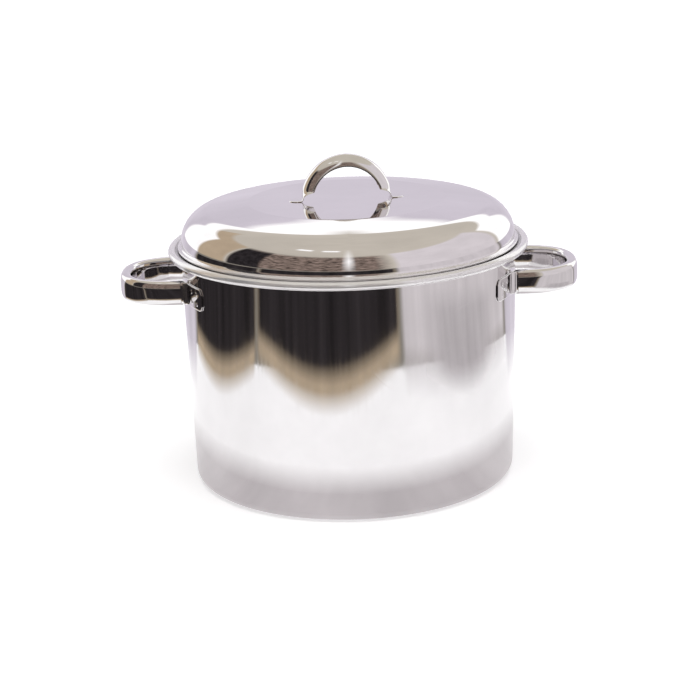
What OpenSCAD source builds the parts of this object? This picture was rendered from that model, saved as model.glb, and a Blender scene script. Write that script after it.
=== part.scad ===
// Water bath canner: a polished steel stock pot with a domed lid and a lift-out wire rack for seven jars.
// Millimetres, +Z up, standing on Z = 0, side handles on the X axis, front towards -Y.

/* [Pot] */
// Outer radius of the wall just under the rim
wall_top_r = 169; // [120:0.5:240]
// Outer radius of the wall just above the bottom corner
wall_base_r = 164; // [115:0.5:235]
// Sheet thickness of the pot
pot_sheet = 0.8; // [0.5:0.1:2]
// Outer radius of the corner between wall and floor
corner_r = 11; // [4:0.5:30]
// Height of the rim bead's centre
bead_z = 238.2; // [150:0.1:320]
// Ring radius of the rolled rim bead
bead_ring_r = 177; // [125:0.1:250]
// Half thickness of the rolled rim bead
bead_r = 4.1; // [2:0.1:7]
// Height of the seat the lid rests on
seat_z = 240.2; // [150:0.1:322]
// Inside radius of the step that carries the seat
seat_fillet = 3; // [1:0.5:8]

/* [Side handles] */
// Height of the strap's middle
grip_z = 205.5; // [120:0.5:280]
// Height of the strap
grip_h = 25; // [14:0.5:40]
// Thickness of the hollow strap
grip_t = 12; // [5:0.5:16]
// Sheet thickness of the strap
grip_sheet = 1; // [0.6:0.1:2]
// Outside radius of the bow seen from above
grip_bow_r = 58; // [35:0.5:80]
// Distance of the bow's centre from the pot axis
grip_bow_x = 173; // [140:0.5:240]
// Angle round the pot at which a foot starts, behind the strap
foot_from = 15.5; // [8:0.5:25]
// Angle round the pot at which a foot ends
foot_to = 32; // [20:0.5:45]
// Height of a welded foot
foot_h = 22; // [12:0.5:34]
// Thickness of a welded foot
foot_t = 1.5; // [0.8:0.1:3]

/* [Lid] */
// Height of the middle of the lid
lid_top_z = 283; // [200:0.5:380]
// Outer radius of the lid's side
lid_side_r = 167.7; // [115:0.1:238]
// Radius of the rounded shoulder
shoulder_r = 32; // [10:0.5:60]
// Radius of the slight dome over the top
crown_r = 3000; // [900:50:6000]
// Sheet thickness of the lid
lid_sheet = 0.7; // [0.5:0.1:2]
// Radius of the groove round the lid's foot
gutter_r = 2.4; // [1:0.1:6]
// Ring radius of the lid's rolled edge
edge_ring_r = 170.3; // [118:0.1:242]
// Half thickness of the lid's rolled edge
edge_r = 1.7; // [1:0.1:3]
// Ring radius of the faint raised ring on top
ring_r = 98.6; // [60:0.2:130]
// How far the faint ring stands up
ring_rise = 0.4; // [0.2:0.1:1.5]

/* [Lid loop] */
// Height of the top of the loop
loop_top_z = 329.5; // [290:0.5:420]
// Outside radius of the loop
loop_r = 45.5; // [25:0.5:70]
// Width of the loop's strap
loop_w = 23; // [12:0.5:36]
// Depth of the strap's curved section
loop_d = 11; // [4:0.5:12]
// Sheet thickness of the loop
loop_sheet = 1.2; // [0.8:0.1:2]
// How far each flat foot reaches out
loop_foot = 10.5; // [5:0.5:20]
// Turn of the loop round the pot axis
loop_turn = 5; // [-90:1:90]

/* [Jar rack] */
// Wire thickness
wire = 4; // [2.5:0.1:6]
// Height of the middle of the lower wires
floor_z = 11; // [7:0.1:20]
// Height of the middle of the upper wires
rail_z = 95; // [60:0.5:130]
// Distance of the outer uprights from the axis
upright_r = 157; // [110:0.5:160]
// Ring radius of the pocket for the middle jar
hub_r = 51; // [35:0.5:60]
// Bend radius of the wires
bend_r = 6; // [4:0.5:12]
// Gap left under the rack's feet
foot_gap = 0.3; // [0.1:0.1:1]

/* [Rack handles] */
// Height of the hinge line
hinge_z = 101; // [80:0.5:140]
// Half the spacing of a handle's arms
arm_y = 35; // [20:0.5:50]
// Distance of a hinge ring from the handle's middle
eye_y = 41; // [26:0.5:56]
// Length of the arms
arm_len = 105; // [60:1:120]
// Gap round the hinge pins
hinge_gap = 0.06; // [0.02:0.01:0.1]

/* [Part] */
// Sub-part to draw, or all of them

/* [Hidden] */
$fn = 96;
eps = 0.05;

// Pot
seat_top = seat_z;
step_z = seat_z - pot_sheet - seat_fillet;
lean = (wall_top_r - wall_base_r) / (step_z - corner_r);

// Side handles
grip_mid = grip_bow_r - grip_t / 2;

// Lid
crown_z = lid_top_z - crown_r;
shoulder_x = lid_side_r - shoulder_r;
crown_a = asin(shoulder_x / (crown_r - shoulder_r));
shoulder_z = crown_z + (crown_r - shoulder_r) * cos(crown_a);
edge_z = seat_z + 0.3 + edge_r;
flange_z = edge_z + 1.5;
gutter_z = flange_z + gutter_r;

// Lid loop
loop_z = loop_top_z - loop_r;
loop_mid = loop_r - 1.5;
toe_r = 3.2;
toe_z = lid_top_z - 0.25 + loop_sheet / 2 + toe_r;
toe_a = asin((toe_z - loop_z) / (loop_mid + toe_r));
toe_x = (loop_mid + toe_r) * cos(toe_a);
cup_r = (loop_w * loop_w / 4 + loop_d * loop_d) / (2 * loop_d);

// Rack
wire_r = wire / 2;
hoop_z = floor_z + wire + eps;
bend_x = upright_r - bend_r;
base_r = bend_x - 3;
rail_r = upright_r - wire - eps;
post_x = hub_r + wire + eps;
rail_under_z = rail_z - bend_r;
rest_z = pot_sheet + foot_gap;
paw_r = hoop_z - wire_r - 2 - rest_z - wire_r;

// Rack handles
eye_wire = 1.5;
eye_ring = wire_r + hinge_gap + eye_wire;
hinge_x = sqrt(rail_r * rail_r - eye_y * eye_y);
pin_len = eye_y - arm_y + 5;

// ---------------------------------------------------------------- helpers

// Flat ring sector between two angles less than 180 degrees apart
module arc_band(r_in, r_out, a0, a1) {
    mid = (a0 + a1) / 2;
    far = 2 * r_out;
    intersection() {
        difference() {
            circle(r = r_out, $fn = 128);
            circle(r = r_in, $fn = 128);
        }
        polygon([
            [0, 0], far * [cos(a0), sin(a0)],
            far * [cos(mid), sin(mid)] / cos((a1 - a0) / 2), far * [cos(a1), sin(a1)]
        ]);
    }
}

// Upright rounded bar section, centred
module stadium(w, h) {
    translate([0, (h - w) / 2]) circle(d = w);
    translate([0, -(h - w) / 2]) circle(d = w);
    square([w, h - w], center = true);
}

// Flat plate outline with rounded corners, centred
module rounded_plate(w, h, r) {
    square([w - 2 * r, h], center = true);
    square([w, h - 2 * r], center = true);
    for (x = [-1, 1], y = [-1, 1]) translate([x * (w / 2 - r), y * (h / 2 - r)]) circle(r = r);
}

// Closed wire hoop lying flat
module hoop(ring_radius, z) {
    translate([0, 0, z]) rotate_extrude($fn = 180) translate([ring_radius, 0]) circle(d = wire, $fn = 24);
}

// Straight wire along +X
module run(x0, x1, z) {
    translate([x0, 0, z]) rotate([0, 90, 0]) cylinder(d = wire, h = x1 - x0, $fn = 24);
}

// Straight wire along +Z
module rise(x, z0, z1) {
    translate([x, 0, z0]) cylinder(d = wire, h = z1 - z0, $fn = 24);
}

// Wire bend in the XZ plane, turning from angle a0 to a1
module elbow(x, z, r, a0, a1) {
    translate([x, 0, z]) rotate([90, 0, 0]) rotate([0, 0, a0])
        rotate_extrude(angle = a1 - a0) translate([r, 0]) circle(d = wire, $fn = 24);
}

// The pot's outside as a solid, grown by g, for trimming what is welded to it
module wall_solid(g) {
    z0 = grip_z - 60;
    rotate_extrude($fn = 180) polygon([
        [0, z0], [wall_base_r + lean * (z0 - corner_r) + g, z0],
        [wall_top_r + g, step_z], [0, step_z]
    ]);
}

// ---------------------------------------------------------------- pot

module pot_shell() {
    color("#c9c9c7") rotate_extrude($fn = 240) {
        // Floor and bottom corner
        square([wall_base_r - corner_r, pot_sheet]);
        translate([wall_base_r - corner_r, corner_r])
            arc_band(corner_r - pot_sheet, corner_r, -90, 0);
        // Slightly flaring wall
        polygon([
            [wall_base_r - pot_sheet, corner_r], [wall_base_r, corner_r],
            [wall_top_r, step_z], [wall_top_r - pot_sheet, step_z]
        ]);
        // Step out to the lid seat
        translate([wall_top_r + seat_fillet, step_z])
            arc_band(seat_fillet, seat_fillet + pot_sheet, 90, 180);
    }
}

// The same sheet's outer edge: the rest of the seat and the hollow rolled rim
module pot_rim() {
    color("#c9c9c7") rotate_extrude($fn = 240) {
        translate([wall_top_r + seat_fillet + eps, seat_z - pot_sheet])
            square([bead_ring_r - wall_top_r - seat_fillet - bead_r + 1.5 - eps, pot_sheet]);
        translate([bead_ring_r, bead_z]) difference() {
            circle(r = bead_r, $fn = 48);
            circle(r = bead_r - pot_sheet, $fn = 48);
        }
    }
}

// Hollow strap bow with two welded feet, drawn on the +X side
module side_handle() {
    difference() {
        translate([0, 0, grip_z]) {
            translate([grip_bow_x, 0, 0]) rotate([0, 0, -90])
                rotate_extrude(angle = 180) translate([grip_mid, 0]) strap();
            for (s = [-1, 1]) translate([120, s * grip_mid, 0]) rotate([90, 0, 90])
                linear_extrude(grip_bow_x - 120) strap();
        }
        wall_solid(eps);
    }
    for (s = [-1, 1]) side_foot(s);
}

// Hollow strap section
module strap() {
    difference() {
        stadium(grip_t, grip_h);
        stadium(grip_t - 2 * grip_sheet, grip_h - 2 * grip_sheet);
    }
}

// Flat foot bent to the wall and spot welded to it
module side_foot(s) {
    mid = (foot_from + foot_to) / 2;
    length = 2 * wall_top_r * sin((foot_to - foot_from) / 2);
    intersection() {
        difference() {
            wall_solid(eps + foot_t);
            wall_solid(eps);
        }
        rotate([0, 0, s * mid]) translate([120, 0, grip_z])
            rotate([90, 0, 90]) linear_extrude(80) rounded_plate(length, foot_h, 5);
    }
}

module side_handle_right() { color("#bfbdbb") side_handle(); }

module side_handle_left() { color("#bfbdbb") rotate([0, 0, 180]) side_handle(); }

// ---------------------------------------------------------------- lid

module lid_shell() {
    color("#cfcdcc") rotate_extrude($fn = 240) {
        // Nearly flat crown and its faint raised ring
        intersection() {
            translate([0, crown_z]) difference() {
                circle(r = crown_r, $fn = 2000);
                circle(r = crown_r - lid_sheet, $fn = 2000);
            }
            polygon([
                [0, crown_z], [2 * crown_r * sin(crown_a), crown_z + 2 * crown_r * cos(crown_a)],
                [0, crown_z + 2 * crown_r]
            ]);
        }
        intersection() {
            translate([ring_r, lid_top_z - ring_r * ring_r / (2 * crown_r) + ring_rise - 3]) circle(r = 3);
            translate([ring_r - 3, lid_top_z - ring_r * ring_r / (2 * crown_r) - lid_sheet + 0.1]) square([6, 3]);
        }
        // Rounded shoulder and short side
        translate([shoulder_x, shoulder_z]) arc_band(shoulder_r - lid_sheet, shoulder_r, -0.2, 90.4 - crown_a);
        translate([lid_side_r - lid_sheet, gutter_z]) square([lid_sheet, shoulder_z - gutter_z]);
        // Groove, flange and rolled edge
        translate([lid_side_r + gutter_r, gutter_z]) arc_band(gutter_r, gutter_r + lid_sheet, 180, 270);
        translate([lid_side_r + gutter_r, flange_z - lid_sheet])
            square([edge_ring_r - lid_side_r - gutter_r, lid_sheet]);
        translate([edge_ring_r, edge_z]) circle(r = edge_r, $fn = 32);
    }
}

// Curved section of the loop's strap
module loop_section() {
    intersection() {
        translate([loop_r - cup_r, 0]) circle(r = cup_r, $fn = 96);
        translate([loop_r - loop_d, -loop_w]) square([loop_d + 1, 2 * loop_w]);
    }
}

// One side of a strap end seen from the side, h off its middle line: down the bow, round the bend, out along the lid
function toe_side(h, n = 8) = concat(
    [for (i = [0:n]) let (a = 15 + (toe_a - 15) * i / n) (loop_mid + h) * [cos(a), sin(a)] + [0, loop_z]],
    [for (i = [1:n]) let (a = 180 + toe_a + (90 - toe_a) * i / n)
        (toe_r - h) * [cos(a), sin(a)] + [toe_x, toe_z]],
    [[toe_x + loop_foot, toe_z - toe_r + h]]
);

module toe_profile() {
    back = toe_side(-loop_sheet / 2);
    polygon(concat(toe_side(loop_sheet / 2), [for (i = [len(back) - 1:-1:0]) back[i]]));
}

module lid_loop() {
    color("#c4c2c0") rotate([0, 0, loop_turn]) {
        // Rounded bow, hollow on the inside and closed near its ends
        translate([0, 0, loop_z]) rotate([90, 0, 0]) difference() {
            rotate([0, 0, 12]) rotate_extrude(angle = 156) loop_section();
            rotate([0, 0, 20]) rotate_extrude(angle = 140)
                translate([loop_r - cup_r, 0]) circle(r = cup_r - loop_sheet, $fn = 96);
        }
        // Flattened ends, with a rounded foot on the lid
        for (s = [0, 180]) rotate([0, 0, s]) intersection() {
            rotate([90, 0, 0]) linear_extrude(loop_w - 5, center = true) toe_profile();
            translate([toe_x + loop_foot - 14, 0, loop_z - 5]) cylinder(r = 14, h = 30);
        }
    }
}

// ---------------------------------------------------------------- rack

module rack_center_ring() { color("#b8b8b6") hoop(25, hoop_z); }

module rack_hub_ring() { color("#b8b8b6") hoop(hub_r, hoop_z); }

module rack_mid_ring() { color("#b8b8b6") hoop(100, hoop_z); }

module rack_base_ring() { color("#b8b8b6") hoop(base_r, hoop_z); }

module rack_hub_rail() { color("#b8b8b6") hoop(hub_r, rail_under_z); }

module rack_outer_rail() { color("#b8b8b6") hoop(rail_r, rail_under_z); }

// One bent wire between two jar pockets
module divider(k) {
    color("#b2b2b0") rotate([0, 0, 60 * k - 30]) {
        run(22, bend_x, floor_z);
        elbow(bend_x, floor_z + bend_r, bend_r, -90, 0);
        rise(upright_r, floor_z + bend_r, rail_under_z);
        elbow(bend_x, rail_under_z, bend_r, 0, 90);
        run(post_x + bend_r, bend_x, rail_z);
        elbow(post_x + bend_r, rail_under_z, bend_r, 90, 180);
        rise(post_x, floor_z + wire_r + eps, rail_under_z);
    }
}

module rack_divider_1() { divider(1); }
module rack_divider_2() { divider(2); }
module rack_divider_3() { divider(3); }
module rack_divider_4() { divider(4); }
module rack_divider_5() { divider(5); }
module rack_divider_6() { divider(6); }

// U-shaped foot welded under the base ring
module paw(k) {
    color("#b8b8b6") rotate([0, 0, 120 * k - 120]) translate([base_r, 0, rest_z + wire_r + paw_r]) {
        rotate([90, 0, 90]) rotate([0, 0, 180]) rotate_extrude(angle = 180)
            translate([paw_r, 0]) circle(d = wire, $fn = 24);
        for (s = [-1, 1]) translate([0, s * paw_r, 0]) cylinder(d = wire, h = 2 - 2 * eps, $fn = 24);
    }
}

module rack_foot_1() { paw(1); }
module rack_foot_2() { paw(2); }
module rack_foot_3() { paw(3); }

// Hinge ring on a short stem over the outer rail
module eye(sx, sy) {
    color("#b8b8b6") translate([sx * hinge_x, sy * eye_y, 0]) {
        translate([0, 0, hinge_z]) rotate([90, 0, 0])
            rotate_extrude($fn = 60) translate([eye_ring, 0]) circle(r = eye_wire, $fn = 24);
        translate([0, 0, rail_under_z + wire_r + eps])
            cylinder(r = eye_wire, h = hinge_z - eye_ring - rail_under_z - wire_r - eps, $fn = 24);
    }
}

module rack_eye_1() { eye(1, 1); }
module rack_eye_2() { eye(1, -1); }
module rack_eye_3() { eye(-1, 1); }
module rack_eye_4() { eye(-1, -1); }

// One arm of a lifting handle with its hinge pin, on the +Y side
module bail_arm() {
    tip = hinge_x - arm_len;
    // Half the grip and the corner into the arm
    translate([tip, arm_y - bend_r, 0]) rotate([90, 0, 0])
        cylinder(d = wire, h = arm_y - bend_r, $fn = 24);
    translate([tip + bend_r, arm_y - bend_r, 0]) rotate([0, 0, 90])
        rotate_extrude(angle = 90) translate([bend_r, 0]) circle(d = wire, $fn = 24);
    translate([tip + bend_r, arm_y, 0]) rotate([0, 90, 0])
        cylinder(d = wire, h = arm_len - bend_r, $fn = 24);
    // Rounded corner, hinge pin and its head
    translate([hinge_x, arm_y, 0]) sphere(d = wire, $fn = 24);
    translate([hinge_x, arm_y, 0]) rotate([-90, 0, 0]) {
        cylinder(d = wire, h = pin_len, $fn = 24);
        translate([0, 0, pin_len]) cylinder(r = wire_r + 1.2, h = 1.4, $fn = 24);
    }
}

// Wire lifting handle, drawn on the +X side and folded in over the rack
module bail() {
    translate([0, 0, hinge_z]) {
        bail_arm();
        mirror([0, 1, 0]) bail_arm();
    }
}

module rack_bail_right() { color("#aeb0b2") bail(); }

module rack_bail_left() { color("#aeb0b2") rotate([0, 0, 180]) bail(); }

// ---------------------------------------------------------------- show

pot_shell();
pot_rim();
side_handle_left();
side_handle_right();
lid_shell();
lid_loop();
rack_center_ring();
rack_hub_ring();
rack_mid_ring();
rack_base_ring();
rack_hub_rail();
rack_outer_rail();
rack_divider_1();
rack_divider_2();
rack_divider_3();
rack_divider_4();
rack_divider_5();
rack_divider_6();
rack_foot_1();
rack_foot_2();
rack_foot_3();
rack_eye_1();
rack_eye_2();
rack_eye_3();
rack_eye_4();
rack_bail_left();
rack_bail_right();
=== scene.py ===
"""Looks for the water bath canner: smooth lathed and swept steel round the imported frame.

The studio is plain: a white floor, one soft light, and glowing cards that only reflections show.
"""
import bmesh
import bpy
import math
from math import cos, pi, radians, sin, sqrt
from mathutils import Matrix, Vector


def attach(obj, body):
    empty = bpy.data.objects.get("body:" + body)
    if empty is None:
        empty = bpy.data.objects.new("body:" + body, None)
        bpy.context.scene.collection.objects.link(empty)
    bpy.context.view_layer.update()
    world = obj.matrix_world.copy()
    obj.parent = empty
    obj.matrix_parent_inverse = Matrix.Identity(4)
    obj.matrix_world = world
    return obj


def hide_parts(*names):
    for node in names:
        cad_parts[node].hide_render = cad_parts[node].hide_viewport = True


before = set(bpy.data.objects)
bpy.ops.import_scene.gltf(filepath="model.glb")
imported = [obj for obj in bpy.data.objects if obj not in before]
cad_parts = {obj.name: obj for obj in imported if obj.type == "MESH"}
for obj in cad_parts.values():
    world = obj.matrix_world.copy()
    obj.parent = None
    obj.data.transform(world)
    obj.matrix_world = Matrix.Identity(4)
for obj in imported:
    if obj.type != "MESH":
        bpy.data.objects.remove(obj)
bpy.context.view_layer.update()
MM = 0.001
SCENE = bpy.context.scene
SCENE.view_settings.view_transform = "Standard"

# ---------------------------------------------------------------- sizes, in millimetres
# Pot, handles and loop follow the part's own sizes. The visible lid is slightly fuller than the part's
# and has a thinner rolled edge, so its top, edge and curves are set here.
WALL_TOP, WALL_BASE, SHEET, CORNER = 169.0, 164.0, 0.8, 11.0
BEAD_R, BEAD_Z, BEAD = 177.0, 238.2, 4.1
SEAT_Z, SEAT_FILLET = 240.2, 3.0
STEP_Z = SEAT_Z - SHEET - SEAT_FILLET
LID_TOP, LID_SIDE, LID_SHEET = 284.2, 167.7, 0.7
SHOULDER = 32.4
DISC_R, DISC_CURVE = 88.0, 30000.0              # nearly flat disc: last wide step, radius of curvature
RING_R, RING_HALF, RING_DIP = 98.6, 1.8, 0.8    # faint ring: radius, half width, and dip in degrees
BAND_R, BAND_FIRST, BAND_LAST = 104.0, 6.0, 8.0    # band round it: where it steepens, slopes in degrees
EDGE_RING, EDGE = 169.8, 1.55
EDGE_Z = SEAT_Z + 0.3 + EDGE
GUTTER, GUTTER_FLARE = 2.4, 0.9
GUTTER_Z = EDGE_Z + 1.5 + GUTTER
LOOP_TOP, LOOP_R, LOOP_SHEET, LOOP_FOOT, LOOP_TURN = 329.5, 45.5, 1.2, 10.5, 5.0
LOOP_CUP = 11.51                         # radius of the curl across the loop's sheet
LOOP_WIDE, LOOP_NARROW = 34.6, 18.3      # width of the flat sheet at the curl and at the feet
GRIP_Z, GRIP_H, GRIP_T, GRIP_R, GRIP_X = 205.5, 25.0, 12.0, 58.0, 173.0
FOOT_T, FOOT_H, FOOT_END, FOOT_GAP = 1.5, 22.0, 32.0, 0.15    # the end is in degrees round the wall


def link(obj):
    SCENE.collection.objects.link(obj)
    return obj


def mesh_object(name, verts, faces, sharp=40):
    mesh = bpy.data.meshes.new(name)
    mesh.from_pydata([tuple(v) for v in verts], [], faces)
    mesh.validate()
    mesh.shade_smooth()
    if sharp:
        mesh.set_sharp_from_angle(angle=radians(sharp))
    return link(bpy.data.objects.new(name, mesh))


def arc(cx, cz, r, a0, a1, step=4.0):
    """Points on an arc, angles in degrees from +R towards +Z."""
    n = max(2, int(math.ceil(abs(a1 - a0) / step)))
    turns = [radians(a0 + (a1 - a0) * i / n) for i in range(n + 1)]
    return [(cx + r * cos(t), cz + r * sin(t)) for t in turns]


def smooth01(x):
    """Smooth step from 0 to 1."""
    x = min(1.0, max(0.0, x))
    return x * x * (3 - 2 * x)


def line(a, b, step=8.0):
    """Points along a straight line, at most step apart."""
    n = max(1, int(math.ceil(math.hypot(b[0] - a[0], b[1] - a[1]) / step)))
    return [(a[0] + (b[0] - a[0]) * i / n, a[1] + (b[1] - a[1]) * i / n) for i in range(n + 1)]


def joined(*runs):
    """One outline from several runs of points, without doubled ones."""
    pts = []
    for run in runs:
        for p in run:
            if not pts or math.hypot(p[0] - pts[-1][0], p[1] - pts[-1][1]) > 0.01:
                pts.append(p)
    return pts


def lathe(name, profile, seg=320, sharp=40):
    """Closed sheet turned round Z from a profile that starts and ends on the axis."""
    inner = profile[1:-1]
    n = len(inner)
    verts = [(0, 0, profile[0][1] * MM), (0, 0, profile[-1][1] * MM)]
    for i in range(seg):
        a = 2 * pi * i / seg
        for r, z in inner:
            verts.append((r * sin(a) * MM, -r * cos(a) * MM, z * MM))
    faces = []
    for i in range(seg):
        a, b = 2 + i * n, 2 + ((i + 1) % seg) * n
        faces.append((0, b, a))
        faces.append((1, a + n - 1, b + n - 1))
        for j in range(n - 1):
            faces.append((a + j, b + j, b + j + 1, a + j + 1))
    return mesh_object(name, verts, faces, sharp)


def sweep(name, rings, sharp=40):
    """Closed solid through a list of rings with the same number of points."""
    n = len(rings[0])
    verts = [tuple(c * MM for c in p) for ring in rings for p in ring]
    faces = []
    for i in range(len(rings) - 1):
        for j in range(n):
            k = (j + 1) % n
            faces.append((i * n + j, i * n + k, (i + 1) * n + k, (i + 1) * n + j))
    faces.append(tuple(reversed(range(n))))
    last = (len(rings) - 1) * n
    faces.append(tuple(last + j for j in range(n)))
    return mesh_object(name, verts, faces, sharp)


# ---------------------------------------------------------------- materials
def nodes_of(mat):
    mat.use_nodes = True
    tree = mat.node_tree
    tree.nodes.clear()
    out = tree.nodes.new("ShaderNodeOutputMaterial")
    shader = tree.nodes.new("ShaderNodeBsdfPrincipled")
    tree.links.new(shader.outputs["BSDF"], out.inputs["Surface"])
    return tree, shader


def noise(tree, coord, scale, stretch=(1, 1, 1), detail=3.0, rough=0.6):
    mapping = tree.nodes.new("ShaderNodeMapping")
    mapping.inputs["Scale"].default_value = stretch
    tree.links.new(coord, mapping.inputs["Vector"])
    tex = tree.nodes.new("ShaderNodeTexNoise")
    tex.inputs["Scale"].default_value = scale
    tex.inputs["Detail"].default_value = detail
    tex.inputs["Roughness"].default_value = rough
    tree.links.new(mapping.outputs["Vector"], tex.inputs["Vector"])
    return tex.outputs["Fac"]


def ramp(tree, fac, lo, hi, a, b):
    node = tree.nodes.new("ShaderNodeMapRange")
    node.inputs["From Min"].default_value = lo
    node.inputs["From Max"].default_value = hi
    node.inputs["To Min"].default_value = a
    node.inputs["To Max"].default_value = b
    tree.links.new(fac, node.inputs["Value"])
    return node.outputs["Result"]


def from_axis(tree, coord):
    """Distance from the object's own Z axis."""
    flat = tree.nodes.new("ShaderNodeVectorMath")
    flat.operation = "MULTIPLY"
    flat.inputs[1].default_value = (1, 1, 0)
    length = tree.nodes.new("ShaderNodeVectorMath")
    length.operation = "LENGTH"
    tree.links.new(coord, flat.inputs[0])
    tree.links.new(flat.outputs[0], length.inputs[0])
    return length.outputs["Value"]


def shade(colour, amount):
    return tuple(c * amount for c in colour)


def maths(tree, operation, a, b):
    node = tree.nodes.new("ShaderNodeMath")
    node.operation = operation
    for i, value in enumerate((a, b)):
        if isinstance(value, (int, float)):
            node.inputs[i].default_value = value
        else:
            tree.links.new(value, node.inputs[i])
    return node.outputs[0]


def colour_mix(tree, a, b, factor, blend="MIX"):
    """Mix of two colours, each a tuple or a socket, by a factor socket."""
    node = tree.nodes.new("ShaderNodeMix")
    node.data_type = "RGBA"
    node.blend_type = blend
    for key, value in (("A", a), ("B", b)):
        if isinstance(value, tuple):
            node.inputs[key].default_value = (*value, 1)
        else:
            tree.links.new(value, node.inputs[key])
    tree.links.new(factor, node.inputs["Factor"])
    return node.outputs["Result"]


def bumped(tree, height, distance, normal=None, invert=False):
    """Normal with the height laid over it; distance is in metres."""
    node = tree.nodes.new("ShaderNodeBump")
    node.invert = invert
    node.inputs["Strength"].default_value = 1.0
    node.inputs["Distance"].default_value = distance
    tree.links.new(height, node.inputs["Height"])
    if normal:
        tree.links.new(normal, node.inputs["Normal"])
    return node.outputs["Normal"]


def with_painted_gap_shade(tree, colour, radius, inner, outer, blur=0.0003):
    """Painted shade: the colour made darker between two distances from the axis, as in the shadow of a narrow
    gap.
    """
    rise = ramp(tree, radius, inner - blur, inner + blur, 0.0, 1.0)
    fall = ramp(tree, radius, outer - blur, outer + blur, 1.0, 0.0)
    return colour_mix(tree, colour, (0.3, 0.3, 0.3), maths(tree, "MULTIPLY", rise, fall), "MULTIPLY")


def scratched(tree, coord, depth, normal):
    """Thin wandering scratches, in patches."""
    bend = tree.nodes.new("ShaderNodeMix")
    bend.data_type = "VECTOR"
    bend.inputs["Factor"].default_value = 0.06
    tree.links.new(coord, bend.inputs["A"])
    tree.links.new(noise(tree, coord, 5.0, (1, 1, 1), 2.0, 0.5), bend.inputs["B"])
    cells = tree.nodes.new("ShaderNodeTexVoronoi")
    cells.feature = "DISTANCE_TO_EDGE"
    cells.inputs["Scale"].default_value = 9.0
    tree.links.new(bend.outputs["Result"], cells.inputs["Vector"])
    thin = ramp(tree, cells.outputs["Distance"], 0.0, 0.004, 1.0, 0.0)
    patch = ramp(tree, noise(tree, coord, 22.0, (1, 1, 1), 2.0, 0.5), 0.56, 0.66, 0.0, 1.0)
    return bumped(tree, maths(tree, "MULTIPLY", thin, patch), depth, normal, True)


def steel(name, base, rough, grain, grain_bump, smudge, scratch=0.0, wave=0.0, wave_scale=9.0,
          satin=None, painted_gap_band=None):
    """Polished steel with streaky buffing, cloudy smudges, thin scratches and the waves of pressed sheet.

    satin is (first radius, last radius, added roughness) of a duller rolled rim, and the last argument the
    (first radius, last radius) of a band of painted shade in the narrow gap under the lid's edge, in metres
    from the object's axis.
    """
    mat = bpy.data.materials.new(name)
    tree, shader = nodes_of(mat)
    coord = tree.nodes.new("ShaderNodeTexCoord").outputs["Object"]
    radius = from_axis(tree, coord) if satin or painted_gap_band else None
    streak = noise(tree, coord, 1.0, grain, 3.0, 0.6)
    cloud = noise(tree, coord, 14.0, (1, 1, 1), 4.0, 0.6)

    fine = ramp(tree, streak, 0.3, 0.75, rough * 0.55, rough * 1.6)
    total = maths(tree, "ADD", fine, ramp(tree, cloud, 0.45, 0.8, 0.0, smudge))
    if satin:
        first, last, added = satin
        total = maths(tree, "ADD", ramp(tree, radius, first, last, 0.0, added), total)
        tree.links.new(ramp(tree, radius, first, last, 1.0, 0.62), shader.inputs["Metallic"])
    else:
        shader.inputs["Metallic"].default_value = 1.0
    tree.links.new(total, shader.inputs["Roughness"])

    clean = ramp(tree, cloud, 0.35, 0.7, 1.0, 0.0)
    colour = colour_mix(tree, shade(base, 0.955), shade(base, 1.02), clean)
    # Painted shade: the pot's seat between the lid's rolled edge and the rim is made darker, as if in the
    # gap's shadow
    if painted_gap_band:
        colour = with_painted_gap_shade(tree, colour, radius, *painted_gap_band)
    tree.links.new(colour, shader.inputs["Base Color"])

    normal = None
    if wave:
        normal = bumped(tree, noise(tree, coord, wave_scale, (1, 1, 0.45), 1.0, 0.4), wave)
    normal = bumped(tree, streak, grain_bump, normal)
    if scratch:
        normal = scratched(tree, coord, scratch, normal)
    tree.links.new(normal, shader.inputs["Normal"])
    return mat


# The pot's steel carries a band of painted shade on the seat under the lid's edge
POT_STEEL = steel(
    "pot_steel_polished", base=(0.74, 0.725, 0.73), rough=0.055, grain=(420, 420, 5), grain_bump=0.000004,
    smudge=0.02, scratch=0.000008, wave=0.0006, satin=(0.1693, 0.1712, 0.09), painted_gap_band=(0.1701, 0.17305))
LID_STEEL = steel(
    "lid_steel_polished", base=(0.74, 0.72, 0.735), rough=0.03, grain=(160, 160, 160), grain_bump=0.0000015,
    smudge=0.012, scratch=0.000006, wave=0.0002, satin=(0.1678, 0.1692, 0.08))
HANDLE_STEEL = steel(
    "handle_steel_polished", base=(0.72, 0.705, 0.71), rough=0.05, grain=(260, 260, 60), grain_bump=0.000004,
    smudge=0.03, scratch=0.00002, wave=0.0003, wave_scale=24.0)
WIRE_STEEL = steel(
    "rack_wire_bright", base=(0.66, 0.655, 0.65), rough=0.16, grain=(300, 300, 300), grain_bump=0.000012,
    smudge=0.06)


def wear(obj, mat):
    obj.data.materials.clear()
    obj.data.materials.append(mat)
    return obj


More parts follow.
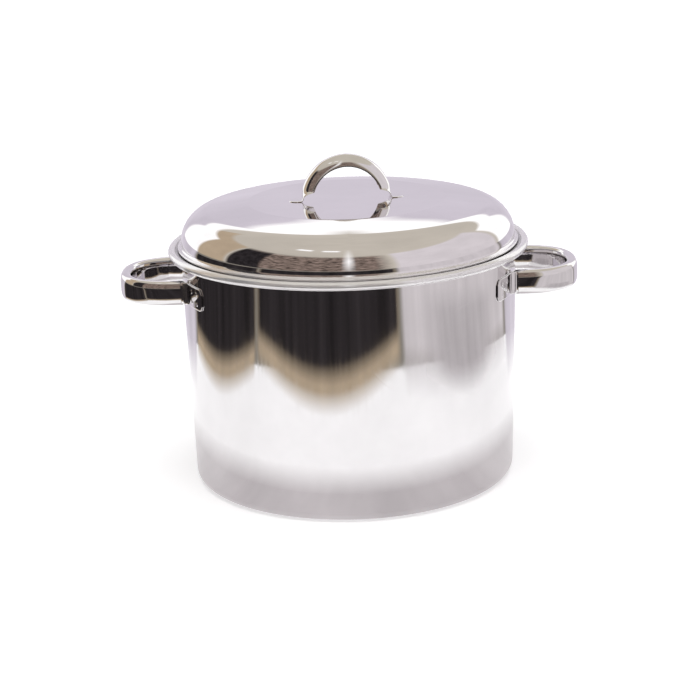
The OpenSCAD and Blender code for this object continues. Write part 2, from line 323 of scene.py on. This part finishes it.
# ---------------------------------------------------------------- pot
def pot_profile():
    """The outside from the middle of the floor up, the rolled rim, and the inside back down."""
    panel_r, raised = 116, 0.45          # the floor's middle stands up a little, with a soft step round it
    step = [(119, 0.35), (121, 0.05), (122.5, 0)]
    floor_out = joined([(0, raised)], line((4, raised), (panel_r, raised), 12), step,
                       line((124, 0), (WALL_BASE - CORNER, 0), 10))
    corner_out = arc(WALL_BASE - CORNER, CORNER, CORNER, -90, 0, 4)
    wall_out = line((WALL_BASE, CORNER), (WALL_TOP, STEP_Z), 6)
    under = arc(WALL_TOP + SEAT_FILLET, STEP_Z, SEAT_FILLET, 180, 92, 8)
    bead = arc(BEAD_R, BEAD_Z, BEAD, 163.5, 510.5, 7)
    seat = arc(WALL_TOP + SEAT_FILLET, STEP_Z, SEAT_FILLET + SHEET, 88, 180, 7)
    wall_in = line((WALL_TOP - SHEET, STEP_Z), (WALL_BASE - SHEET, CORNER), 10)
    corner_in = arc(WALL_BASE - CORNER, CORNER, CORNER - SHEET, 0, -90, 5)
    floor_in = [(r, z + SHEET) for r, z in reversed(floor_out)]
    return joined(floor_out, corner_out, wall_out, under, bead, seat, wall_in, corner_in, floor_in)


pot = wear(lathe("pot_body", pot_profile()), POT_STEEL)
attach(pot, "pot")
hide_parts("pot_shell", "pot_rim")


# ---------------------------------------------------------------- lid
def lid_slope(r, start):
    """Downward slope of the lid at radius r, in radians; the shoulder begins at start."""
    inside = r / DISC_CURVE
    outside = radians(BAND_FIRST + (BAND_LAST - BAND_FIRST) * smooth01((r - BAND_R) / (start - BAND_R)))
    slope = inside + (outside - inside) * smooth01((r - RING_R + RING_HALF) / (2 * RING_HALF))
    return slope - radians(RING_DIP) * math.exp(-((r - RING_R) / 1.3) ** 2)


def lid_crown(start):
    """Top of the lid out to the shoulder: 16 points on the disc, then one each half millimetre."""
    radii = [4 + (DISC_R - 4) * i / 14 for i in range(15)]
    pts = [(0, LID_TOP)] + [(r, LID_TOP - r * r / (2 * DISC_CURVE)) for r in radii]
    r, z = pts[-1]
    while r < start - 1e-6:
        step = min(0.5, start - r)
        slope = lid_slope(r + step / 2, start)
        r, z = r + step, z - step * math.tan(slope)
        pts.append((r, z))
    return pts


def lid_profile():
    """Crown, round shoulder, groove, rolled edge, and the underside back to the middle."""
    tilt = radians(BAND_LAST)
    crown = lid_crown(LID_SIDE - SHOULDER * (1 - sin(tilt)))
    sx, sz = LID_SIDE - SHOULDER, crown[-1][1] - SHOULDER * cos(tilt)
    shoulder = arc(sx, sz, SHOULDER, 90 - BAND_LAST, 4, 2.0)
    turns = [radians(t) for t in range(0, 89, 6)]
    gutter = [(LID_SIDE + GUTTER * (1 - cos(t)), GUTTER_Z + GUTTER_FLARE - (GUTTER + GUTTER_FLARE) * sin(t))
              for t in turns]
    edge = arc(EDGE_RING, EDGE_Z, EDGE, 95, -216, 9)
    back = arc(LID_SIDE + GUTTER, GUTTER_Z, GUTTER + LID_SHEET, 247.5, 180, 12)
    inner = arc(sx, sz, SHOULDER - LID_SHEET, 0, 90 - BAND_LAST, 4)
    # The underside keeps every point of the disc and each fourth one of the band
    under = [(r, z - LID_SHEET) for r, z in reversed(crown[:16] + crown[18:-2:4])]
    return joined(crown, shoulder, gutter, edge, back, inner, under)


lid = wear(lathe("lid_dome", lid_profile(), sharp=50), LID_STEEL)
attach(lid, "lid")
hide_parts("lid_shell")


# ---------------------------------------------------------------- strap work
def superellipse(half_a, half_b, power, n=44):
    """Points round a rounded rectangle; a higher power makes squarer corners."""
    pts = []
    for i in range(n):
        c, s = cos(2 * pi * i / n), sin(2 * pi * i / n)
        x = half_a * math.copysign(abs(c) ** (2 / power), c)
        y = half_b * math.copysign(abs(s) ** (2 / power), s)
        pts.append((x, y))
    return pts


def wall_radius(z):
    """Outside radius of the leaning wall at a height."""
    return WALL_BASE + (WALL_TOP - WALL_BASE) * (z - CORNER) / (STEP_Z - CORNER)


def grip_path():
    """Half of the strap seen from above, from its tip to the free end of a foot.

    Each point is (x, y, thickness, height, on_wall); on_wall goes from 0 to 1 as the strap comes to
    lean with the wall.
    """
    mid = GRIP_R - GRIP_T / 2
    tall, bow_power = GRIP_H - 0.7, 2.35
    neck, bend, corner = 4.5, 4.0, 5.0
    pts = []
    for i in range(31):
        t = radians(90 * i / 30)
        x = GRIP_X + mid * cos(t) ** (2 / bow_power)
        y = mid * sin(t) ** (2 / bow_power)
        pts.append((x, y, GRIP_T, GRIP_H - 0.6 * smooth01(i / 30), 0.0))
    foot_r = wall_radius(GRIP_Z) + FOOT_GAP + FOOT_T / 2
    line_y = GRIP_R - FOOT_T / 2
    cx = sqrt((foot_r + bend) ** 2 - (line_y + bend) ** 2)
    for i in range(1, 4):
        pts.append((GRIP_X - (GRIP_X - cx - neck) * i / 3, mid, GRIP_T, tall, 0.0))
    for i in range(1, 13):
        u = sin(radians(90 * i / 12))
        thick = FOOT_T + (GRIP_T - FOOT_T) * sqrt(max(0.0, 1 - u * u))
        pts.append((cx + neck - neck * u, GRIP_R - thick / 2, thick, tall - (tall - FOOT_H) * u * u, 0.3 * u))
    end_a = math.degrees(math.atan2(-(line_y + bend), -cx)) % 360
    for i in range(1, 10):
        a = radians(270 + (end_a - 270) * i / 9)
        x, y = cx + bend * cos(a), line_y + bend + bend * sin(a)
        pts.append((x, y, FOOT_T, FOOT_H, 0.3 + 0.7 * i / 9))
    a0, a1 = math.atan2(line_y + bend, cx), radians(FOOT_END)
    for i in range(1, 15):
        a = a0 + (a1 - a0) * i / 14
        left = (a1 - a) * foot_r
        high = FOOT_H
        if left <= corner:
            high = 12.0 + 10.0 * sqrt(max(0.0, 1 - ((corner - left) / corner) ** 2))
        pts.append((foot_r * cos(a), foot_r * sin(a), FOOT_T if i < 14 else FOOT_T * 0.6, high, 1.0))
    return pts


def lens(cx, cy, cz, axis_angle, radius, rise):
    """Low round spot-weld mark with a dimple, facing away from the pot's axis."""
    ux, uy = cos(axis_angle), sin(axis_angle)
    # Rings from the rim to the middle, as parts of the radius and of the rise
    rows = [(1.0, -0.3), (0.92, 0.5), (0.75, 1.0), (0.5, 0.75), (0.25, 0.45), (0.05, 0.35)]
    verts, faces, n = [], [], 20
    for rr, hh in rows:
        for i in range(n):
            t = 2 * pi * i / n
            s, v = radius * rr * cos(t), radius * rr * sin(t)
            x, y = cx + ux * rise * hh - uy * s, cy + uy * rise * hh + ux * s
            verts.append((x * MM, y * MM, (cz + v) * MM))
    for k in range(len(rows) - 1):
        for i in range(n):
            j = (i + 1) % n
            faces.append((k * n + i, k * n + j, (k + 1) * n + j, (k + 1) * n + i))
    faces.append(tuple((len(rows) - 1) * n + i for i in range(n)))
    faces.append(tuple(reversed(range(n))))
    return verts, faces


def join_meshes(obj, parts):
    """Adds loose solids to an object's mesh."""
    for verts, faces in parts:
        extra = bpy.data.meshes.new("extra")
        extra.from_pydata(verts, [], faces)
        bm = bmesh.new()
        bm.from_mesh(obj.data)
        bm.from_mesh(extra)
        bmesh.ops.recalc_face_normals(bm, faces=bm.faces)
        bm.to_mesh(obj.data)
        bm.free()
        bpy.data.meshes.remove(extra)
    obj.data.shade_smooth()
    obj.data.set_sharp_from_angle(angle=radians(50))
    return obj


def side_handle(name, side):
    """Strap handle on the +X side (1) or the -X side (-1)."""
    half = grip_path()
    full = [(x, -y, t, h, w) for x, y, t, h, w in reversed(half)] + half[1:]
    rings = []
    for i, (x, y, t, h, w) in enumerate(full):
        a, b = full[max(0, i - 1)], full[min(len(full) - 1, i + 1)]
        dx, dy = b[0] - a[0], b[1] - a[1]
        d = math.hypot(dx, dy)
        nx, ny = dy / d, -dx / d
        power = 3.3 if t > 5 else 3.3 + (5 - t) * 0.8
        ring = []
        for p, q in superellipse(t / 2, h / 2, power):
            px, py = x + nx * p, y + ny * p
            rad = math.hypot(px, py)
            k = 1 + w * (wall_radius(GRIP_Z + q) - wall_radius(GRIP_Z)) / rad
            ring.append((side * px * k, side * py * k, GRIP_Z + q))
        rings.append(ring)
    obj = sweep(name, rings, 60)
    marks = []
    for s in (-1, 1):
        for a in (24.5, 28.6):
            for dz in (5.2, -5.2):
                ang = radians(s * a) + (0 if side > 0 else pi)
                r = wall_radius(GRIP_Z + dz) + FOOT_GAP + FOOT_T
                marks.append(lens(r * cos(ang), r * sin(ang), GRIP_Z + dz, ang, radius=2.1, rise=0.3))
    join_meshes(obj, marks)
    wear(obj, HANDLE_STEEL)
    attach(obj, "pot")
    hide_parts(name.replace("grip", "side_handle"))


side_handle("grip_right", 1)
side_handle("grip_left", -1)


# ---------------------------------------------------------------- lid loop
def loop_path():
    """Half of the loop seen from the front, from the top to the free end of a foot.

    Each point is (x, z, curl, width); curl goes from 1 on the bow to 0 on the flat legs and feet.
    """
    cz = LOOP_TOP - LOOP_R
    bow = LOOP_R - LOOP_SHEET / 2
    mid = LOOP_R - 1.5
    toe = 3.2
    toe_z = LID_TOP - 0.25 + LOOP_SHEET / 2 + toe
    toe_a = math.asin((toe_z - cz) / (mid + toe))
    toe_x = (mid + toe) * cos(toe_a)
    pts = []
    top, low = 90.0, math.degrees(toe_a)
    for i in range(45):
        a = top + (low - top) * i / 44
        flat = smooth01((17 - a) / 13)
        r = bow + (mid - bow) * flat
        pts.append((r * cos(radians(a)), cz + r * sin(radians(a)), 1 - flat,
                    LOOP_WIDE + (LOOP_NARROW - LOOP_WIDE) * flat))
    for i in range(1, 9):
        a = 180 + low + (90 - low) * i / 8
        pts.append((toe_x + toe * cos(radians(a)), toe_z + toe * sin(radians(a)), 0.0, LOOP_NARROW))
    for i in range(1, 13):
        s = LOOP_FOOT * i / 12
        w = LOOP_NARROW
        if s >= 2.5:
            w *= sqrt(max(0.02, 1 - ((s - 2.5) / (LOOP_FOOT - 2.3)) ** 2))
        drop = 0.00017 * ((toe_x + s) ** 2 - toe_x ** 2)
        pts.append((toe_x + s, toe_z - toe - drop, 0.0, w))
    return pts


def curled_section(curl, width, n=20):
    """Section of the loop's sheet: (outward, across) points round it, bent to a trough by curl."""
    k = max(1e-4, curl / LOOP_CUP)
    half, t = width / 2, LOOP_SHEET / 2
    outer, inner = [], []
    for i in range(n + 1):
        s = -half + 2 * half * i / n
        a = k * s
        u, v = -(1 - cos(a)) / k, sin(a) / k
        edge = 1 - 0.55 * smooth01((abs(s) - half + 1.2) / 1.2)
        outer.append((u + t * edge * cos(a), v + t * edge * sin(a)))
        inner.append((u - t * edge * cos(a), v - t * edge * sin(a)))
    return outer + inner[::-1]


def lid_loop():
    """The lid's strap loop, turned a little about the axis."""
    half = loop_path()
    full = [(-x, z, c, w) for x, z, c, w in half[:0:-1]] + half
    c0, s0 = cos(radians(LOOP_TURN)), sin(radians(LOOP_TURN))
    rings = []
    for i, (x, z, curl, width) in enumerate(full):
        a, b = full[max(0, i - 1)], full[min(len(full) - 1, i + 1)]
        dx, dz = b[0] - a[0], b[1] - a[1]
        d = math.hypot(dx, dz)
        nx, nz = -dz / d, dx / d
        ring = []
        for u, v in curled_section(curl, width):
            px, pz = x + nx * u, z + nz * u
            ring.append((px * c0 - v * s0, px * s0 + v * c0, pz))
        rings.append(ring)
    obj = sweep("lid_grip", rings, 50)
    wear(obj, HANDLE_STEEL)
    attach(obj, "lid")
    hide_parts("lid_loop")


lid_loop()

# ---------------------------------------------------------------- rack
for node_name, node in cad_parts.items():
    if node_name.startswith("rack"):
        wear(node, WIRE_STEEL)

# ---------------------------------------------------------------- studio
# Plain glowing cards that only reflections show. The colours are linear light.
WHITE = (1.4, 1.4, 1.38)
PALE = (0.85, 0.80, 0.82)
LILAC = (0.75, 0.70, 0.78)
CREAM = (0.70, 0.65, 0.56)
TAN = (0.60, 0.48, 0.34)
BROWN = (0.25, 0.19, 0.16)
DARK = (0.03, 0.026, 0.028)

CARD_HEIGHT = 0.25       # height of the dome cards' centre, in metres
HORIZON = -15            # lowest elevation of a dome card, in degrees
LAYER_GAP = 0.0001       # each ground card lies this much above the one before
ground_cards = []


def mottled(tree, coord, colour, scale, stretch, spread):
    """The card's colour, varied by soft noise between darker and lighter shades of it."""
    cloud = noise(tree, coord, scale, stretch)
    lighter = ramp(tree, cloud, 0.35, 0.65, 0.0, 1.0)
    return colour_mix(tree, shade(colour, 1 - spread), shade(colour, 1 + spread), lighter)


def emitter(name, colour, edge, scale, stretch, spread):
    """Glowing card whose four sides fade out over edge, a part of its size."""
    mat = bpy.data.materials.new(name)
    mat.use_nodes = True
    tree = mat.node_tree
    tree.nodes.clear()
    out = tree.nodes.new("ShaderNodeOutputMaterial")
    glow = tree.nodes.new("ShaderNodeEmission")
    uv = tree.nodes.new("ShaderNodeTexCoord").outputs["UV"]
    tree.links.new(mottled(tree, uv, colour, scale, stretch, spread), glow.inputs["Color"])
    if not edge:
        tree.links.new(glow.outputs["Emission"], out.inputs["Surface"])
        return mat
    sep = tree.nodes.new("ShaderNodeSeparateXYZ")
    tree.links.new(uv, sep.inputs[0])
    inside = None
    for axis in (0, 1):
        for side in (sep.outputs[axis], maths(tree, "SUBTRACT", 1.0, sep.outputs[axis])):
            fade = ramp(tree, side, 0.0, edge, 0.0, 1.0)
            inside = fade if inside is None else maths(tree, "MULTIPLY", inside, fade)
    clear = tree.nodes.new("ShaderNodeBsdfTransparent")
    mix = tree.nodes.new("ShaderNodeMixShader")
    tree.links.new(inside, mix.inputs[0])
    tree.links.new(clear.outputs[0], mix.inputs[1])
    tree.links.new(glow.outputs[0], mix.inputs[2])
    tree.links.new(mix.outputs[0], out.inputs["Surface"])
    return mat


def card(name, place, mat, across=48, along=16):
    """A sheet of place(u, v) points, with u and v from 0 to 1, that only reflections show."""
    spots = [(i / across, j / along) for j in range(along + 1) for i in range(across + 1)]
    row = across + 1
    faces = [(j * row + i, j * row + i + 1, (j + 1) * row + i + 1, (j + 1) * row + i)
             for j in range(along) for i in range(across)]
    obj = mesh_object(name, [place(u, v) for u, v in spots], faces, 0)
    layer = obj.data.uv_layers.new(name="UVMap")
    for loop in obj.data.loops:
        layer.data[loop.index].uv = spots[loop.vertex_index]
    obj.visible_camera = obj.visible_diffuse = obj.visible_shadow = False
    obj.visible_transmission = obj.visible_volume_scatter = False
    wear(obj, mat)


def dome(name, left, right, low, high, colour, dist, edge=0.05, scale=3.0, spread=0.05):
    """Card on a sphere round the object: azimuths from -Y towards +X, then elevations, in degrees."""
    def place(u, v):
        a = radians(left + (right - left) * u)
        e = radians(low + (high - low) * v)
        return (dist * cos(e) * sin(a), -dist * cos(e) * cos(a), CARD_HEIGHT + dist * sin(e))
    name = "studio_" + name
    card(name, place, emitter(name, colour, edge, scale, (1, 1, 1), spread))


def ground(name, left, right, near, far, colour, arch=0.0, edge=0.03, spread=0.08):
    """Card on the floor between two distances in metres; its near edge bows towards the pot by arch."""
    ground_cards.append(name)
    height = LAYER_GAP * (len(ground_cards) + 3)

    def place(u, v):
        a = radians(left + (right - left) * u)
        start = near + arch * (1 - sin(pi * u))
        r = start + (far - start) * v
        return (r * sin(a), -r * cos(a), height)
    name = "studio_" + name
    card(name, place, emitter(name, colour, edge, 1.0, (12, 0.5, 1), spread))


# The room is a plain one in even sectors, with windows behind, dark things to the left and in front, and a
# pale screen to the right. SECTOR is the width of one in degrees; azimuths count from the front to the right.
SECTOR = 30
APRON = 0.5              # radius of the white floor round the pot, in metres
ROOM = 3.0               # how far the coloured floor reaches
SCREEN_TOP = 45
WINDOW_TOP = 35

dome("ceiling", -6 * SECTOR, 6 * SECTOR, HORIZON, 90, CREAM, 6.4, 0.0)
dome("wall_left", -5 * SECTOR, -3 * SECTOR, HORIZON, SCREEN_TOP, TAN, 6.0)
dome("window_left", -6 * SECTOR, -4 * SECTOR, HORIZON, WINDOW_TOP, WHITE, 5.8)
dome("window_right", 4 * SECTOR, 6 * SECTOR, HORIZON, WINDOW_TOP, WHITE, 5.8)
dome("window_behind", 5 * SECTOR, 7 * SECTOR, 15, 30, WHITE, 5.7, 0.1)
dome("shelves", -3 * SECTOR, SECTOR, HORIZON, SCREEN_TOP, BROWN, 5.6, 0.1, 20.0, 0.7)
dome("dark_flag", -3 * SECTOR, -2 * SECTOR, HORIZON, SCREEN_TOP, DARK, 5.5, 0.1, 8.0, 0.4)
dome("pale_screen", SECTOR, 4 * SECTOR, HORIZON, SCREEN_TOP, PALE, 5.4)
dome("backdrop", 5 * SECTOR, 7 * SECTOR, HORIZON, 25, LILAC, 5.2)
for k in (-2, -1):
    dome("lamp_%d" % (k + 3), k * SECTOR, (k + 0.75) * SECTOR, 60, 65, WHITE, 5.0, 0.2)
dome("lamp_front", -5, 5, HORIZON, 70, WHITE, 4.8, 0.5)

ground("room_floor", -6 * SECTOR, 6 * SECTOR, APRON + 0.1, 7.0, shade(CREAM, 0.4), 0.0, 0.0)
ground("behind", 4 * SECTOR, 8 * SECTOR, APRON - 0.1, 7.0, LILAC)
for k, (first, last) in enumerate(((-4, -2), (-2, 1))):
    left, right, bow = first * SECTOR, last * SECTOR, 0.05 * (last - first)
    ground("tan_%d" % (k + 1), left, right, APRON - 0.05, ROOM, shade(TAN, 0.9), bow)
    ground("dark_%d" % (k + 1), left, right, APRON + 0.05, ROOM, DARK, bow, 0.03, 0.4)
ground("pale_right", SECTOR, 4 * SECTOR, APRON - 0.05, 7.0, shade(PALE, 0.9), 0.05)
ground("shade_right", 1.5 * SECTOR, 3.5 * SECTOR, APRON - 0.05, APRON + 0.4, shade(PALE, 0.7), 0.1, 0.25)
ground("pot_shade", -6 * SECTOR, 6 * SECTOR, 0.1, 0.3, shade(PALE, 0.8), 0.0, 0.35)

# White floor, and white behind it for the camera
FLOOR = 14               # half the floor's width, in metres
corners = [(-FLOOR, -FLOOR, 0), (FLOOR, -FLOOR, 0), (FLOOR, FLOOR, 0), (-FLOOR, FLOOR, 0)]
floor = mesh_object("studio_floor", corners, [(0, 1, 2, 3)], 0)
floor_mat = bpy.data.materials.new("studio_floor")
tree, shader = nodes_of(floor_mat)
shader.inputs["Base Color"].default_value = (0.9, 0.9, 0.905, 1)
shader.inputs["Roughness"].default_value = 0.9
shader.inputs["Specular IOR Level"].default_value = 0.0
shader.inputs["Emission Color"].default_value = (1.0, 0.99, 1.0, 1)
where = tree.nodes.new("ShaderNodeTexCoord").outputs["Object"]
far_off = tree.nodes.new("ShaderNodeVectorMath")
far_off.operation = "LENGTH"
tree.links.new(where, far_off.inputs[0])
glow = ramp(tree, far_off.outputs["Value"], 0.8, 3.2, 0.42, 1.1)
tree.links.new(glow, shader.inputs["Emission Strength"])
wear(floor, floor_mat)

world = bpy.data.worlds.new("studio")
world.use_nodes = True
tree = world.node_tree
behind = tree.nodes["Background"]
behind.inputs["Color"].default_value = (1.0, 1.0, 1.0, 1)
path = tree.nodes.new("ShaderNodeLightPath")
level = tree.nodes.new("ShaderNodeMapRange")
level.inputs["To Min"].default_value = 0.3
level.inputs["To Max"].default_value = 1.1
tree.links.new(path.outputs["Is Camera Ray"], level.inputs["Value"])
tree.links.new(level.outputs["Result"], behind.inputs["Strength"])
SCENE.world = world


def area(name, loc, aim, size, power):
    """Round soft light that shows in no reflection."""
    data = bpy.data.lights.new(name, "AREA")
    data.shape = "DISK"
    data.size = size
    data.energy = power
    obj = link(bpy.data.objects.new(name, data))
    obj.location = loc
    obj.rotation_mode = "QUATERNION"
    obj.rotation_quaternion = (Vector(aim) - Vector(loc)).to_track_quat("-Z", "Y")
    obj.visible_glossy = False


area("light_top", loc=(0, -0.4, 2.6), aim=(0, 0, 0), size=2.6, power=52)

# ---------------------------------------------------------------- camera
PITCH, YAW, ROLL = 0.2832, -0.0008, -0.0331    # radians
EYE = (0.0, -1.8752, 0.6714)                   # metres
FOCAL, SENSOR = 97.88, 36.0                    # millimetres
fwd = Vector((sin(YAW) * cos(PITCH), cos(YAW) * cos(PITCH), -sin(PITCH)))
right = fwd.cross(Vector((0, 0, 1))).normalized()
up = right.cross(fwd)
right, up = right * cos(ROLL) + up * sin(ROLL), up * cos(ROLL) - right * sin(ROLL)
cam_data = bpy.data.cameras.new("camera")
cam_data.lens = FOCAL
cam_data.sensor_width = SENSOR
cam = link(bpy.data.objects.new("camera", cam_data))
cam.matrix_world = Matrix((
    (right.x, up.x, -fwd.x, EYE[0]),
    (right.y, up.y, -fwd.y, EYE[1]),
    (right.z, up.z, -fwd.z, EYE[2]),
    (0, 0, 0, 1)))
SCENE.camera = cam
